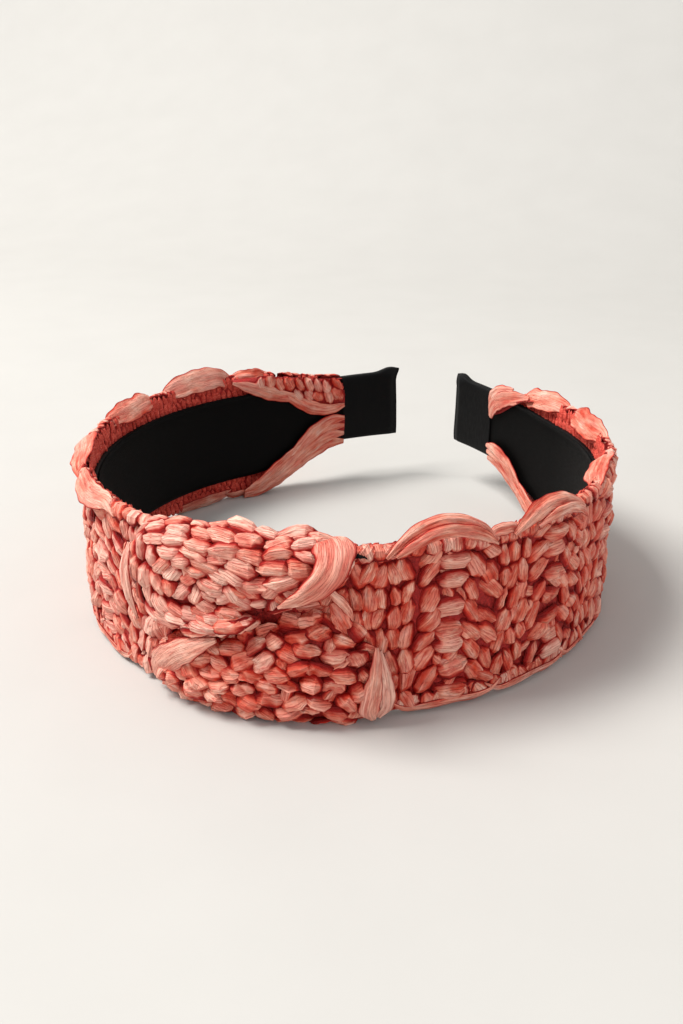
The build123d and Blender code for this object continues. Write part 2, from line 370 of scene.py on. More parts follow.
def strand(path, rng, stations=80, top=26, under=20, folds=5, depth=0.6, tone=None):
    """One long smooth leaf. Each row of path is (s, r, z, width, height, facing angle).

    The facing angle is in degrees: 0 faces outwards and 90 faces up.
    """
    line = smooth_line(path, stations)
    centre, width, height = line[:, :3], line[:, 3, None], line[:, 4, None]
    facing = np.radians(line[:, 5])
    along = unit(np.gradient(centre, axis=0))
    out = np.stack([np.zeros(stations), np.cos(facing), np.sin(facing)], axis=1)
    out = unit(out - along * np.sum(out * along, axis=1, keepdims=True))
    side = np.cross(along, out)
    across, over = section(top, under)
    u, v = np.linspace(-1, 1, stations)[:, None], across[None, :]
    phase = rng.uniform(0, 1)
    fold = crumple(u, v, 4, folds, 1, rng)[0]
    pleat = crumple(u, v, 6, 2 * folds + 3, 1, rng)[0]
    dome = 0.5 * np.maximum(tent(v, rng.uniform(-0.3, 0.3)), 0) ** 0.6 + 0.5 * (1 - v**4) ** 0.6
    creased = height * dome * (1 - depth * fold - 0.5 * depth * pleat)
    h = np.where(over, creased, -0.6 * creased)
    ripple = 0.05 * np.sin(9 * u + 7 * phase) + 0.04 * np.sin(17 * u + 3 * phase)
    y = width / 2 * v * (1 + ripple)
    points = centre[:, None, :] + y[..., None] * side[:, None, :] + h[..., None] * out[:, None, :]
    run = distances(centre)
    fibre = np.stack(np.broadcast_arrays(run[:, None], y, rng.uniform(0, 100)), axis=-1)
    # crest is low at the strand's edges and in its folds, where the material paints shade, and high
    # on top, where it paints a highlight.
    crest = np.minimum(1, 2.1 * dome) * (1 - 0.25 * fold - 0.3 * pleat)
    return {
        "points": band_point(points)[None],
        "fibre": fibre[None],
        "tone": np.full((1, *y.shape), rng.uniform(0.2, 0.6) if tone is None else tone),
        "crest": crest[None],
    }


def skin(points, closed=False):
    """A tube of (station, point round) band points, as one part of a mesh."""
    run, girth = distances(points[:, 0]), distances(points[0])
    fibre = np.stack(np.broadcast_arrays(run[:, None], girth, 0.0), axis=-1)
    plain = np.zeros((1, *points.shape[:2]))
    return {
        "points": band_point(points)[None],
        "fibre": fibre[None],
        "tone": plain,
        "crest": plain,
        "closed": closed,
    }


def tube_faces(shape, closed):
    """Faces round and along closed tubes, with an end face at each end unless they are rings."""
    count, stations, around = shape
    index = np.arange(count * stations * around).reshape(shape)
    after = np.roll(index, -1, axis=1) if closed else index[:, 1:]
    here = index if closed else index[:, :-1]
    corners = [here, after, np.roll(after, -1, axis=2), np.roll(here, -1, axis=2)]
    quads = np.stack(corners, axis=-1).reshape(-1, 4)
    if closed:
        return quads, np.zeros((0, around), int)
    return quads, np.concatenate([index[:, 0], index[:, -1, ::-1]])


def mesh_piece(name, parts, material):
    """One mesh object made of parts, with the attributes that its material reads.

    Leaves keep their flat facets; the rest is smooth.
    """
    quads, caps, start = [], [], 0
    for part in parts:
        shape = part["points"].shape[:3]
        sides, ends = tube_faces(shape, part.get("closed", False))
        quads.append(sides + start)
        caps += [end + start for end in ends]
        start += int(np.prod(shape))
    quads = np.concatenate(quads)
    sizes = np.concatenate([np.full(len(quads), 4), [len(c) for c in caps]]).astype(int)
    corners = np.concatenate([quads.ravel(), *caps]).astype(int)
    mesh = bpy.data.meshes.new(name)
    mesh.vertices.add(start)
    mesh.vertices.foreach_set("co", gather(parts, "points"))
    mesh.loops.add(len(corners))
    mesh.loops.foreach_set("vertex_index", corners)
    mesh.polygons.add(len(sizes))
    mesh.polygons.foreach_set("loop_start", np.append(0, np.cumsum(sizes)[:-1]).astype(int))
    mesh.polygons.foreach_set("use_smooth", np.full(len(sizes), "leaves" not in name))
    mesh.update(calc_edges=True)
    mesh.validate()
    for key in ("fibre", "tone", "crest"):
        kind, field = ("FLOAT_VECTOR", "vector") if key == "fibre" else ("FLOAT", "value")
        mesh.attributes.new(key, kind, "POINT").data.foreach_set(field, gather(parts, key))
    mesh.materials.append(material)
    piece = bpy.data.objects.new(name, mesh)
    bpy.context.scene.collection.objects.link(piece)
    return piece


def gather(parts, key):
    return np.concatenate([np.asarray(p[key], np.float32).ravel() for p in parts])


# ---- materials


def colour(red, green, blue):
    """A colour given in the usual 0 to 255 steps, as the linear values that nodes take."""
    steps = np.array([red, green, blue]) / 255
    linear = np.where(steps <= 0.04045, steps / 12.92, ((steps + 0.055) / 1.055) ** 2.4)
    return (*linear.tolist(), 1.0)


class Nodes:
    """A material's node tree, with short ways to add the nodes used here."""

    def __init__(self, name, roughness):
        self.material = bpy.data.materials.new(name)
        self.material.use_nodes = True
        self.tree = self.material.node_tree
        self.shader = self.tree.nodes["Principled BSDF"]
        self.shader.inputs["Roughness"].default_value = roughness

    def add(self, kind, **settings):
        made = self.tree.nodes.new(kind)
        for key, value in settings.items():
            setattr(made, key, value)
        return made

    def link(self, source, target):
        self.tree.links.new(source, target)

    def attribute(self, name):
        made = self.add("ShaderNodeAttribute", attribute_name=name)
        return made.outputs["Vector" if name == "fibre" else "Fac"]

    def stretched(self, vector, scale):
        """A vector, with each part of it scaled."""
        made = self.add("ShaderNodeVectorMath", operation="MULTIPLY")
        return self.fill(made, {0: vector, 1: scale}).outputs[0]

    def noise(self, vector, scale, detail=3.0, rough=0.5):
        """Noise with its own scale along each part of the vector."""
        values = {"Vector": self.stretched(vector, scale), "Scale": 1.0, "Detail": detail,
                  "Roughness": rough}
        return self.fill(self.add("ShaderNodeTexNoise"), values).outputs["Fac"]

    def wave(self, vector, direction, scale, distortion):
        values = {"Vector": vector, "Scale": scale, "Distortion": distortion}
        made = self.add("ShaderNodeTexWave", bands_direction=direction)
        return self.fill(made, values).outputs["Fac"]

    def ramp(self, factor, stops):
        made = self.add("ShaderNodeValToRGB")
        while len(made.color_ramp.elements) < len(stops):
            made.color_ramp.elements.new(0.5)
        for element, (at, shade) in zip(made.color_ramp.elements, stops):
            element.position, element.color = at, shade
        self.link(factor, made.inputs["Fac"])
        return made.outputs["Color"]

    def spread(self, factor, low, high, to_low=0.0, to_high=1.0):
        """A factor from low to high, spread over to_low to to_high and clamped."""
        values = {"Value": factor, "From Min": low, "From Max": high, "To Min": to_low,
                  "To Max": to_high}
        return self.fill(self.add("ShaderNodeMapRange"), values).outputs["Result"]

    def fill(self, made, values):
        """Sets or links some of a node's sockets, given as {socket: value}."""
        for socket, value in values.items():
            if isinstance(value, (tuple, float)):
                made.inputs[socket].default_value = value
            else:
                self.link(value, made.inputs[socket])
        return made

    def mix(self, factor, first, second):
        made = self.add("ShaderNodeMix", data_type="RGBA")
        return self.fill(made, {0: factor, 6: first, 7: second}).outputs[2]

    def math(self, operation, first, second):
        made = self.add("ShaderNodeMath", operation=operation)
        return self.fill(made, {0: first, 1: second}).outputs[0]

    def bump(self, height, strength, distance, before=None):
        values = {"Strength": strength, "Distance": distance, "Height": height}
        if before is not None:
            values["Normal"] = before
        return self.fill(self.add("ShaderNodeBump"), values).outputs["Normal"]

    def finish(self, shade, normal, roughness=None):
        self.fill(self.shader, {"Base Color": shade, "Normal": normal})
        if roughness is not None:
            self.link(roughness, self.shader.inputs["Roughness"])
        return self.material


# The raffia's colours. The first is painted shade only, for folds, undersides and leaf edges; DEEP
# is the dark fibre lines and creases, and also painted shade at leaf edges; PALE is the pale
# patches, and also a painted highlight on ridges and lit parts.
CREVICE_SHADE, DEEP = colour(128, 6, 4), colour(188, 28, 18)
ORANGE, CORAL = colour(236, 84, 44), colour(230, 88, 62)
PINK, PALE = colour(246, 148, 118), colour(255, 208, 188)


def raffia(name, mottle, fibres, crease, lines):
    """Dyed raffia: fine fibres and long dark creases; the deep red in its folds and at its edges is
    painted shade, and the pale on its ridges a painted highlight.
    """
    n = Nodes(name, 0.5)
    fibre, tone, crest = (n.attribute(a) for a in ("fibre", "tone", "crest"))
    streaks = n.noise(fibre, (0.25, 4.6, 1.0), 3.0, 0.6)
    patches = n.noise(fibre, (0.4 * mottle, 0.7 * mottle, 3.0), 3.0, 0.55)
    veins = n.noise(fibre, (0.12, crease, 2.0), 2.0)
    vein = n.math("ABSOLUTE", n.math("SUBTRACT", veins, 0.5), 0.0)
    stops = [(0.0, ORANGE), (0.3, CORAL), (0.62, PINK), (1.0, PALE)]
    body = n.ramp(n.spread(patches, 0.24, 0.76), stops)
    for factor, low, high, at_low, at_high, shade in (
        # tone is random per leaf; its paler range on lit parts and redder range on shaded ones is
        # painted light and shade.
        (tone, 0.0, 0.45, 0.6, 0.0, CORAL),
        (tone, 0.45, 1.0, 0.0, 0.8, PALE),
        # Painted highlight: paler where crest is high, on the ridges.
        (crest, 0.6, 0.92, 0.0, 0.6, PALE),
        (streaks, 0.44, 0.62, 0.0, fibres, DEEP),
        (vein, 0.0, 0.03, lines, 0.0, DEEP),
        # Painted shade: deep red at leaf edges, then the darkest red in folds and underneath, where
        # crest is low.
        (crest, 0.34, 0.72, 1.0, 0.0, DEEP),
        (crest, 0.1, 0.5, 1.0, 0.0, CREVICE_SHADE),
    ):
        body = n.mix(n.spread(factor, low, high, at_low, at_high), body, shade)
    wrinkles = n.noise(fibre, (0.8, 1.4, 5.0), 3.0, 0.55)
    normal = n.bump(wrinkles, 0.5, 0.0005)
    normal = n.bump(n.spread(vein, 0.0, 0.08), 0.7, 0.0003, normal)
    normal = n.bump(streaks, 0.4, 0.0002, normal)
    n.shader.inputs["Specular IOR Level"].default_value = 0.2
    return n.finish(body, normal, n.spread(streaks, 0.3, 0.7, 0.42, 0.6))


def ground_material(name, dark, middle, light):
    """The tight red ground weave that the leaves are sewn through."""
    n = Nodes(name, 0.75)
    fuzz = n.noise(n.attribute("fibre"), (2.4, 1.1, 1.0), 5.0, 0.7)
    shade = n.ramp(n.spread(fuzz, 0.3, 0.7), [(0.0, dark), (0.6, middle), (1.0, light)])
    return n.finish(shade, n.bump(fuzz, 0.8, 0.0004))


def black_cloth(name, bands, slubs, shades, relief, shine, sheen, rough):
    """Near-black woven cloth: bands of weave, uneven threads, and a soft sheen."""
    n = Nodes(name, 0.5)
    fibre = n.attribute("fibre")
    weave = n.wave(n.stretched(fibre, (1.0, 1.0, 0.0)), *bands)
    slub = n.noise(fibre, slubs, 4.0, 0.6)
    normal = n.bump(slub, 0.3, 0.0001, n.bump(weave, *relief))
    values = {"Specular IOR Level": shine, "Sheen Weight": sheen, "Sheen Roughness": 0.4}
    n.fill(n.shader, values)
    return n.finish(n.mix(slub, *shades), normal, n.spread(slub, 0.3, 0.7, *rough))


def plastic_material():
    """The hoop: moulded black plastic with a faint grain."""
    n = Nodes("hoop_plastic", 0.4)
    grain = n.noise(n.attribute("fibre"), (2.0, 2.0, 2.0))
    shade = n.mix(grain, colour(18, 18, 19), colour(30, 30, 32))
    return n.finish(shade, n.bump(grain, 0.2, 0.0001))


BRAID = raffia("raffia_braid", mottle=0.8, fibres=0.22, crease=1.6, lines=0.7)
STRAND = raffia("raffia_strand", mottle=0.4, fibres=0.15, crease=2.6, lines=0.5)
GROUND = ground_material(
    "raffia_ground", colour(120, 8, 5), colour(168, 20, 14), colour(196, 48, 36)
)
INNER = ground_material(
    "raffia_inner", colour(172, 24, 16), colour(224, 78, 60), colour(240, 128, 106)
)
SATIN = black_cloth(
    "black_satin", ("DIAGONAL", 1.3, 0.6), (0.5, 4.0, 1.0), (colour(1, 1, 1), colour(4, 4, 4)),
    relief=(0.25, 0.00008), shine=0.07, sheen=0.01, rough=(0.45, 0.62),
)
RIBBON = black_cloth(
    "black_ribbon", ("X", 0.75, 0.4), (3.0, 0.4, 1.0), (colour(2, 2, 2), colour(8, 8, 9)),
    relief=(0.4, 0.00012), shine=0.12, sheen=0.015, rough=(0.5, 0.7),
)
PLASTIC = plastic_material()


# ---- the woven band

ROW_PITCH = 5.1
EAR_PITCH, EAR_WIDTH = 27.5, 20.2
FIRST_EAR = {"left": 31.9, "right": 35.7}
# One ear's columns: place from the ear's start, tilt, length, width, height, row shift.
EAR_COLUMNS = [
    (3.3, 50, 7.8, 4.6, 1.9, -1.2),
    (8.9, 0, 9.4, 5.4, 2.4, 1.4),
    (13.6, -56, 7.2, 4.4, 1.9, -0.9),
    (17.4, -50, 7.6, 4.4, 1.9, -3.4),
]
PLAIN_COLUMNS = [21.1, 23.8, 26.4]
PLAIN_PITCH = 2.7
# The knot's lobes hide the band up to here.
KNOT_HALF = 17


def row_places(s, shift):
    """The z of each leaf in a column, kept inside the braid's edges and off the knot."""
    rows = np.arange(-1, 9) * ROW_PITCH + 3.4 + shift
    margin = 1.2
    if abs(s) < KNOT_HALF:
        return []
    return rows[(rows > low_edge(s) + margin) & (rows < top_edge(s) - margin)]


def column_leaves(s, tilt, length, width, height, shift, rng):
    return [(
        s + rng.normal(0, 0.4), z + rng.normal(0, 0.45), math.radians(tilt + rng.normal(0, 11)),
        length * rng.uniform(0.86, 1.1), width * rng.uniform(0.88, 1.15),
        height * rng.uniform(0.8, 1.2), 0.0,
    ) for z in row_places(s, shift)]


def plain_leaves(s, rng):
    """A column of upright leaves, each leaning one way or the other."""
    rows = []
    for z in row_places(s, rng.uniform(-0.6, 0.6)):
        lean = rng.choice([-1, 1]) * rng.uniform(4, 26)
        rows.append((
            s + rng.normal(0, 0.25), z + rng.normal(0, 0.35), math.radians(90 + lean),
            6.6 * rng.uniform(0.88, 1.12), 3.9 * rng.uniform(0.85, 1.2),
            1.9 * rng.uniform(0.75, 1.25), 0.0,
        ))
    return rows


def band_columns(side):
    """One arm's leaves: the ears' middle ones, the ears' others, and the plain ones."""
    sign, start = SIDES[side], FIRST_EAR[side]
    rng = np.random.default_rng(SEED + sign)
    middles, ears, plain = [], [], []
    for along in np.arange(start - 1.2, 16, -PLAIN_PITCH):
        plain += plain_leaves(sign * along, rng)
    while start < TAPER_END:
        for at, *leaf in EAR_COLUMNS:
            along = start + (at if sign > 0 else EAR_WIDTH - at)
            if along < TAPER_END - 2:
                column = middles if leaf[0] == 0 else ears
                column += column_leaves(sign * along, *leaf, rng)
        for at in PLAIN_COLUMNS:
            if start + at < TAPER_END - 2:
                plain += plain_leaves(sign * (start + at), rng)
        start += EAR_PITCH
    spots = spots_over(sign * np.arange(17.5, TAPER_END - 2, 0.9), np.arange(2.4, 39, 0.9), rng)
    spots = [(s, z) for s, z in spots if low_edge(s) + 1.5 < z < top_edge(s) - 1.5]
    plain += fill_gaps(band_out, middles + ears + plain, spots, 2.5, rng)
    return middles, ears, plain


def rim_leaves(side, end, rng):
    """Low leaves that fold over one edge of the arm."""
    sign = SIDES[side]
    rows = []
    over, height = (1.4, 0.75) if end > 0 else (2.4, 0.5)
    for along in np.arange(1.5, TAPER_END - 1, 2.7):
        if end > 0 and along < KNOT_HALF:
            continue
        rows.append((
            sign * along + rng.normal(0, 0.4), -end * rng.uniform(over - 0.4, over + 0.4),
            math.radians(90 + rng.normal(0, 24)), 4.8 * rng.uniform(0.85, 1.15),
            4.2 * rng.uniform(0.85, 1.15), height * rng.uniform(0.7, 1.3), 0.0,
        ))
    return rows


def inner_leaves(side, rng):
    """Small upright stitches on the inner face, above and below the lining."""
    sign = SIDES[side]
    rows = []
    for along in np.arange(1.2, TAPER_END - 1, 1.9):
        s = sign * along
        low, high = core_middle(s) - core_half(s), core_middle(s) + core_half(s)
        for z in (low - 1.0, low - 4.4, high + 1.0, high + 4.4):
            if low_edge(s) + 0.6 < z < top_edge(s) - 0.6:
                rows.append((
                    -s + rng.normal(0, 0.12), z + rng.normal(0, 0.25),
                    math.radians(90 + rng.normal(14, 6)), 4.4 * rng.uniform(0.9, 1.1),
                    1.9 * rng.uniform(0.9, 1.1), 0.75 * rng.uniform(0.8, 1.2), 0.0,
                ))
    return rows


def slab(sign, along, up, offset, height, turn=1):
    """A closed strip: offset(face, f) and height(s, f) say where its two faces lie.

    Face 1 looks outwards and face -1 inwards. f runs across each of them over the values in up,
    which go downwards where turn is 1 and upwards where it is -1.
    """
    s = sign * along[:, None] * np.ones((1, len(up)))
    faces = []
    for face in (1, -1):
        f = up[None, ::face]
        faces.append(np.stack([s, offset(face, f) + 0 * s, height(s, f)], axis=-1))
    ring = np.concatenate(faces, axis=1)
    return skin(ring if sign * turn > 0 else ring[:, ::-1])


def backing(side):
    """The red ground of one arm: a thin ribbed strip from the crown to the tip."""
    along = np.arange(0, TAPER_END + 0.01, 0.35)
    ribs = 0.12 * np.sin(along[:, None] * 2 * math.pi / 1.9)
    inset = 1.2

    def offset(face, f):
        return (BACKING_OUT if face > 0 else BRAID_IN) + face * ribs

    def height(s, f):
        tall = top_edge(s) - low_edge(s) - 2 * inset
        return (top_edge(s) + low_edge(s)) / 2 + f * tall

    return slab(SIDES[side], along, np.linspace(0.5, -0.5, 26), offset, height)


def loop(side, edge, along, length, rise, width, lean, facing, rng):
    """A broad leaf that bows over an edge: edge is 1 for the upper one, -1 for the lower."""
    sign = SIDES[side]
    start, end = sign * (along - length / 2), sign * (along + length / 2)
    rim_z = top_edge if edge > 0 else low_edge
    path = []
    for f, bow, w in ((0, -2.8, 0.15), (0.12, -0.7, 0.6), (0.3, 0.75, 0.95), (0.55, 1.0, 1.0),
                      (0.78, 0.55, 0.9), (0.91, -1.0, 0.6), (1, -2.8, 0.15)):
        s = start + (end - start) * f
        z = rim_z(s) + edge * ((rise - width * 0.4) * bow if bow > 0 else bow)
        root = 2.2 if lean > 0 else 0.6
        r = root + (lean - root) * max(bow, 0)
        path.append((s, r, max(z, 0.45 * width * w), width * w, 0.9 * w**0.5, edge * facing))
    # Painted shade: the right arm's lower loops, in shade, get redder tones than the other loops.
    low, high = (0.25, 0.65) if edge > 0 or sign < 0 else (0.1, 0.4)
    return strand(path, rng, tone=rng.uniform(low, high))


# Each loop: middle, length, rise over the edge, width, offset at its middle, facing angle.
UPPER_LOOPS = {
    "right": [(55.5, 9, 1.2, 2.6, 1.8, 30), (103, 28, 2.2, 6.2, -1.3, 120),
              (137, 27, 2.6, 6.6, -1.2, 140), (163, 26, 2.6, 6.2, -1.0, 150)],
    "left": [(47, 26, 1.0, 6.0, 2.8, 40), (73, 30, 2.4, 6.6, 1.4, 60),
             (107, 26, 2.8, 6.6, -1.2, 140), (136, 28, 4.2, 7.2, -1.2, 150),
             (155, 13, 1.6, 4.4, -1.0, 150)],
}
# The right arm's three front loops, as rows of (s, r, z, width, height, facing angle).
FRONT_LOOPS = [
    [(30.0, 2.6, 37.8, 0.8, 0.5, 20), (33.2, 2.4, 41.2, 2.0, 1.0, 25),
     (37.0, 1.9, 43.7, 2.5, 1.1, 30), (41.0, 1.6, 44.7, 2.5, 1.1, 35),
     (46.0, 1.6, 44.0, 2.3, 1.1, 30), (50.5, 1.9, 41.8, 1.8, 0.9, 25),
     (54.0, 2.4, 38.4, 0.6, 0.4, 20)],
    [(31.8, 3.2, 38.2, 0.7, 0.5, 0), (35.2, 3.5, 40.7, 2.4, 1.2, -5),
     (39.8, 3.2, 42.7, 3.1, 1.4, -5), (45.0, 3.1, 42.5, 3.1, 1.4, -5),
     (50.0, 3.2, 40.5, 2.5, 1.1, -5), (53.6, 3.0, 37.8, 0.6, 0.4, 0)],
    [(57.8, 2.8, 38.8, 1.2, 0.5, 10), (60.8, 2.5, 40.6, 3.0, 0.8, 20),
     (64.4, 2.0, 42.0, 4.0, 0.9, 30), (68.8, 1.7, 42.9, 3.8, 0.9, 35),
     (73.4, 1.8, 42.5, 3.1, 0.9, 30), (77.6, 2.2, 40.9, 2.2, 0.8, 20),
     (80.8, 2.8, 38.8, 0.9, 0.5, 10)],
    [(64.0, 3.2, 39.2, 0.8, 0.4, 10), (69.0, 3.2, 40.6, 2.3, 0.9, 15),
     (74.2, 3.2, 40.6, 2.6, 0.9, 15), (79.2, 3.1, 38.6, 2.0, 0.8, 10),
     (82.6, 2.9, 35.8, 0.6, 0.4, 10)],
]
LOWER_LOOPS = {
    "right": [(44, 26, 0.2, 2.4, 2.2, 20), (66, 26, 0.2, 2.4, 2.2, 20), (89, 26, 0.3, 2.6, 2.0, 20),
              (112, 26, 0.6, 3.2, 1.4, 20), (135, 26, 0.9, 4.2, 0.4, 30),
              (157, 24, 1.2, 4.4, -0.2, 40)],
    "left": [(44, 26, 0.2, 2.6, 2.2, 20), (66, 26, 0.3, 2.8, 2.0, 20), (89, 26, 0.6, 3.4, 1.4, 20),
             (112, 26, 0.8, 4.4, 0.2, 40), (136, 27, 1.0, 5.4, -1.7, 150),
             (149, 12, 0.8, 3.6, -1.7, 150), (162, 24, 2.0, 5.4, -1.7, 150)],
}


def bend(piece, side):
    """Bakes a piece's transform; the flex line's stretch between the crown and one arm is worked
    out but not used, so the piece does not bend.
    """
    sign = SIDES[side]
    ends = np.array([[sign * FLEX_FROM, 0, BRAID_MIDDLE], [sign * FLEX_TO, 0, BRAID_MIDDLE]])
    start, end = band_point(ends).tolist()
    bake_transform(piece)


def build_band(side):
    rng = np.random.default_rng(SEED + 10 + SIDES[side])
    middles, ears, plain = band_columns(side)
    # Painted light and shade: leaves on the left arm, on the lit side, get paler tones, and those
    # on the right arm, in shade, redder ones.
    tones = (0.45, 1.0) if side == "left" else (0.0, 0.5)
    strip_node = f"{side}_raffia_strip"
    parts = {
        "ground": ([backing(side)], GROUND, strip_node),
        "ear_leaves": ([leaves(band_out, middles, rng, pale=(0.4, 1.0)),
                        leaves(band_out, ears, rng, pale=tones)], BRAID),
        "plain_leaves": ([leaves(band_out, plain, rng, pale=tones)], BRAID),
        "rim_leaves": ([leaves(rim(top_edge, 1), rim_leaves(side, 1, rng), rng),
                        leaves(rim(low_edge, -1), rim_leaves(side, -1, rng), rng)], BRAID),
        "inner_stitches": ([leaves(band_in, inner_leaves(side, rng), rng)], INNER),
    }
    for name, edge, table in (("upper", 1, UPPER_LOOPS), ("lower", -1, LOWER_LOOPS)):
        loops = [loop(side, edge, *row, rng) for row in table[side]]
        if side == "right" and edge > 0:
            loops += [strand(path, rng, tone=0.5) for path in FRONT_LOOPS]
        parts[f"{name}_edge_loops"] = (loops, STRAND, f"{side}_{name}_edge_loops")
    for name, (made, material, *nodes) in parts.items():
        piece = mesh_piece(f"{side}_{name}.look", made, material)
        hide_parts(*nodes)
        bend(piece, side)


# ---- hoop, lining and tips


def strip(side, r_in, r_out, half, end):
    """A closed strip of the hoop's run, half as tall as half(s) on each side of its middle."""

    def offset(face, f):
        return (r_out if face > 0 else r_in) - face * 0.25 * np.abs(f) ** 12

    def height(s, f):
        return core_middle(s) + f * half(s)

    along = np.append(np.arange(0, end, 0.8), end)
    return slab(SIDES[side], along, np.linspace(1, -1, 22), offset, height)


def lining_half(s):
    return core_half(s) + 0.3


# The layers of the hoop: its faces, its half height, where it ends, and its material.
HOOP_LAYERS = {
    "hoop_core": (*CORE_R, core_half, CORE_END, PLASTIC),
    "core_cover": (*COVER_R, lining_half, TAPER_END, RIBBON),
    "lining": (*LINING_R, lining_half, TAPER_END, SATIN),
}


def build_hoop(side):
    """One half of the hoop; the left half stands for the crown's own nodes too."""
    made = {}
    for node, (*shape, material) in HOOP_LAYERS.items():
        name = {"hoop_core": "hoop", "core_cover": "cover"}.get(node, node)
        made[name] = mesh_piece(f"{side}_{name}.look", [strip(side, *shape)], material)
        nodes = [f"{side}_{node}"] + [f"{node}_crown"] * (side == "left")
        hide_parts(*nodes)
    for piece in made.values():
        bend(piece, side)


def sleeve_ring(s, half, r_in, r_out, count=44):
    """One section of a tip's ribbon: a rounded flat ring, at arc length s."""
    a = np.linspace(0, 2 * math.pi, count, endpoint=False)
    square = 0.18
    z = np.sign(np.sin(a)) * np.abs(np.sin(a)) ** square
    r = np.sign(np.cos(a)) * np.abs(np.cos(a)) ** 0.5
    middle = core_middle(s)
    return np.stack(
        [np.full(count, s), (r_in + r_out) / 2 + r * (r_out - r_in) / 2, middle + z * half], axis=-1
    )


SLEEVE_FROM, SLEEVE_TO = 186.6, 206.4
SLEEVE_HALF, SLEEVE_END_HALF = 10.7, 10.9
SLEEVE_R = (-2.9, 0.1)
SLEEVE_WALL = 0.35


def build_sleeve(side):
    """The black ribbon that wraps a tip: flattened past the hoop, with one curled corner."""
    sign = SIDES[side]
    steps = np.linspace(0, 1, 46)
    layers = []
    for wall, order in ((0.0, steps), (SLEEVE_WALL, steps[::-1])):
        for f in order:
            s = SLEEVE_FROM + (SLEEVE_TO - SLEEVE_FROM) * f
            flat = smoothstep((f - 0.84) / 0.16)
            middle = (SLEEVE_R[0] + SLEEVE_R[1]) / 2
            thick = (SLEEVE_R[1] - SLEEVE_R[0]) / 2 * (1 - 0.62 * flat) - wall * 0.8
            half = SLEEVE_HALF + (SLEEVE_END_HALF - SLEEVE_HALF) * f - wall
            ring = sleeve_ring(sign * s, half, middle - thick, middle + thick)
            up = (ring[:, 2] - core_middle(s)) / half
            corner, hollow = smoothstep((up - 0.8) / 0.2), np.exp(-(((up - 0.5) / 0.3) ** 2))
            curl = smoothstep((f - 0.66) / 0.34)
            ring[:, 2] += smoothstep((up - 0.5) / 0.5) * np.exp(-(((f - 0.84) / 0.15) ** 2)) * 1.1
            ring[:, 1] += corner * curl * 1.5 + 0.14 * np.sin(5 * f + ring[:, 2] * 0.35)
            ring[:, 0] += sign * curl * (1.3 * corner - 0.7 * hollow)
            layers.append(ring)
    points = np.array(layers)
    made = skin(points if sign < 0 else points[:, ::-1], closed=True)
    piece = mesh_piece(f"{side}_tip_sleeve.look", [made], RIBBON)
    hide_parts(f"{side}_tip_sleeve")
    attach(piece, f"{side}_arm")


# ---- flaps at the tips

# Each flap: where it starts, its free border's height there and at the sleeve, which edge it
# folds over, and where its broad strands lie: 0 at the free border, and 1 at the folded edge.
FLAPS = {
    "left_upper": (148, 38.5, 26.2, 1, (0.0,)),
    "left_lower": (151, 3.5, 23.0, -1, (0.0, 0.3, 0.62, 0.95)),
    "right_upper": (166, 38.0, 28.5, 1, ()),
    "right_lower": (150, 2.5, 19.0, -1, (0.0, 0.45, 0.9)),
}
# The right upper flap is two leaves that hook down to the sleeve, as strand paths.
HOOKS = [
    [(169.0, -1.6, 38.0, 1.4, 0.6, 150), (175.0, -3.1, 36.6, 4.4, 0.9, 172),
     (180.2, -3.8, 34.8, 5.2, 1.0, 180), (184.0, -3.9, 31.6, 4.8, 1.0, 180),
     (185.4, -3.6, 28.0, 1.8, 0.7, 180)],
    [(177.0, -1.8, 38.4, 1.4, 0.6, 150), (181.6, -3.1, 37.2, 3.8, 0.9, 172),
     (184.8, -3.6, 34.6, 4.0, 0.9, 180), (186.0, -3.6, 31.4, 1.6, 0.6, 180)],
]


def flap_border(name, s):
    start, from_z, to_z = FLAPS[name][:3]
    return from_z + (to_z - from_z) * smoothstep((np.abs(s) - start) / (TAPER_END - start))


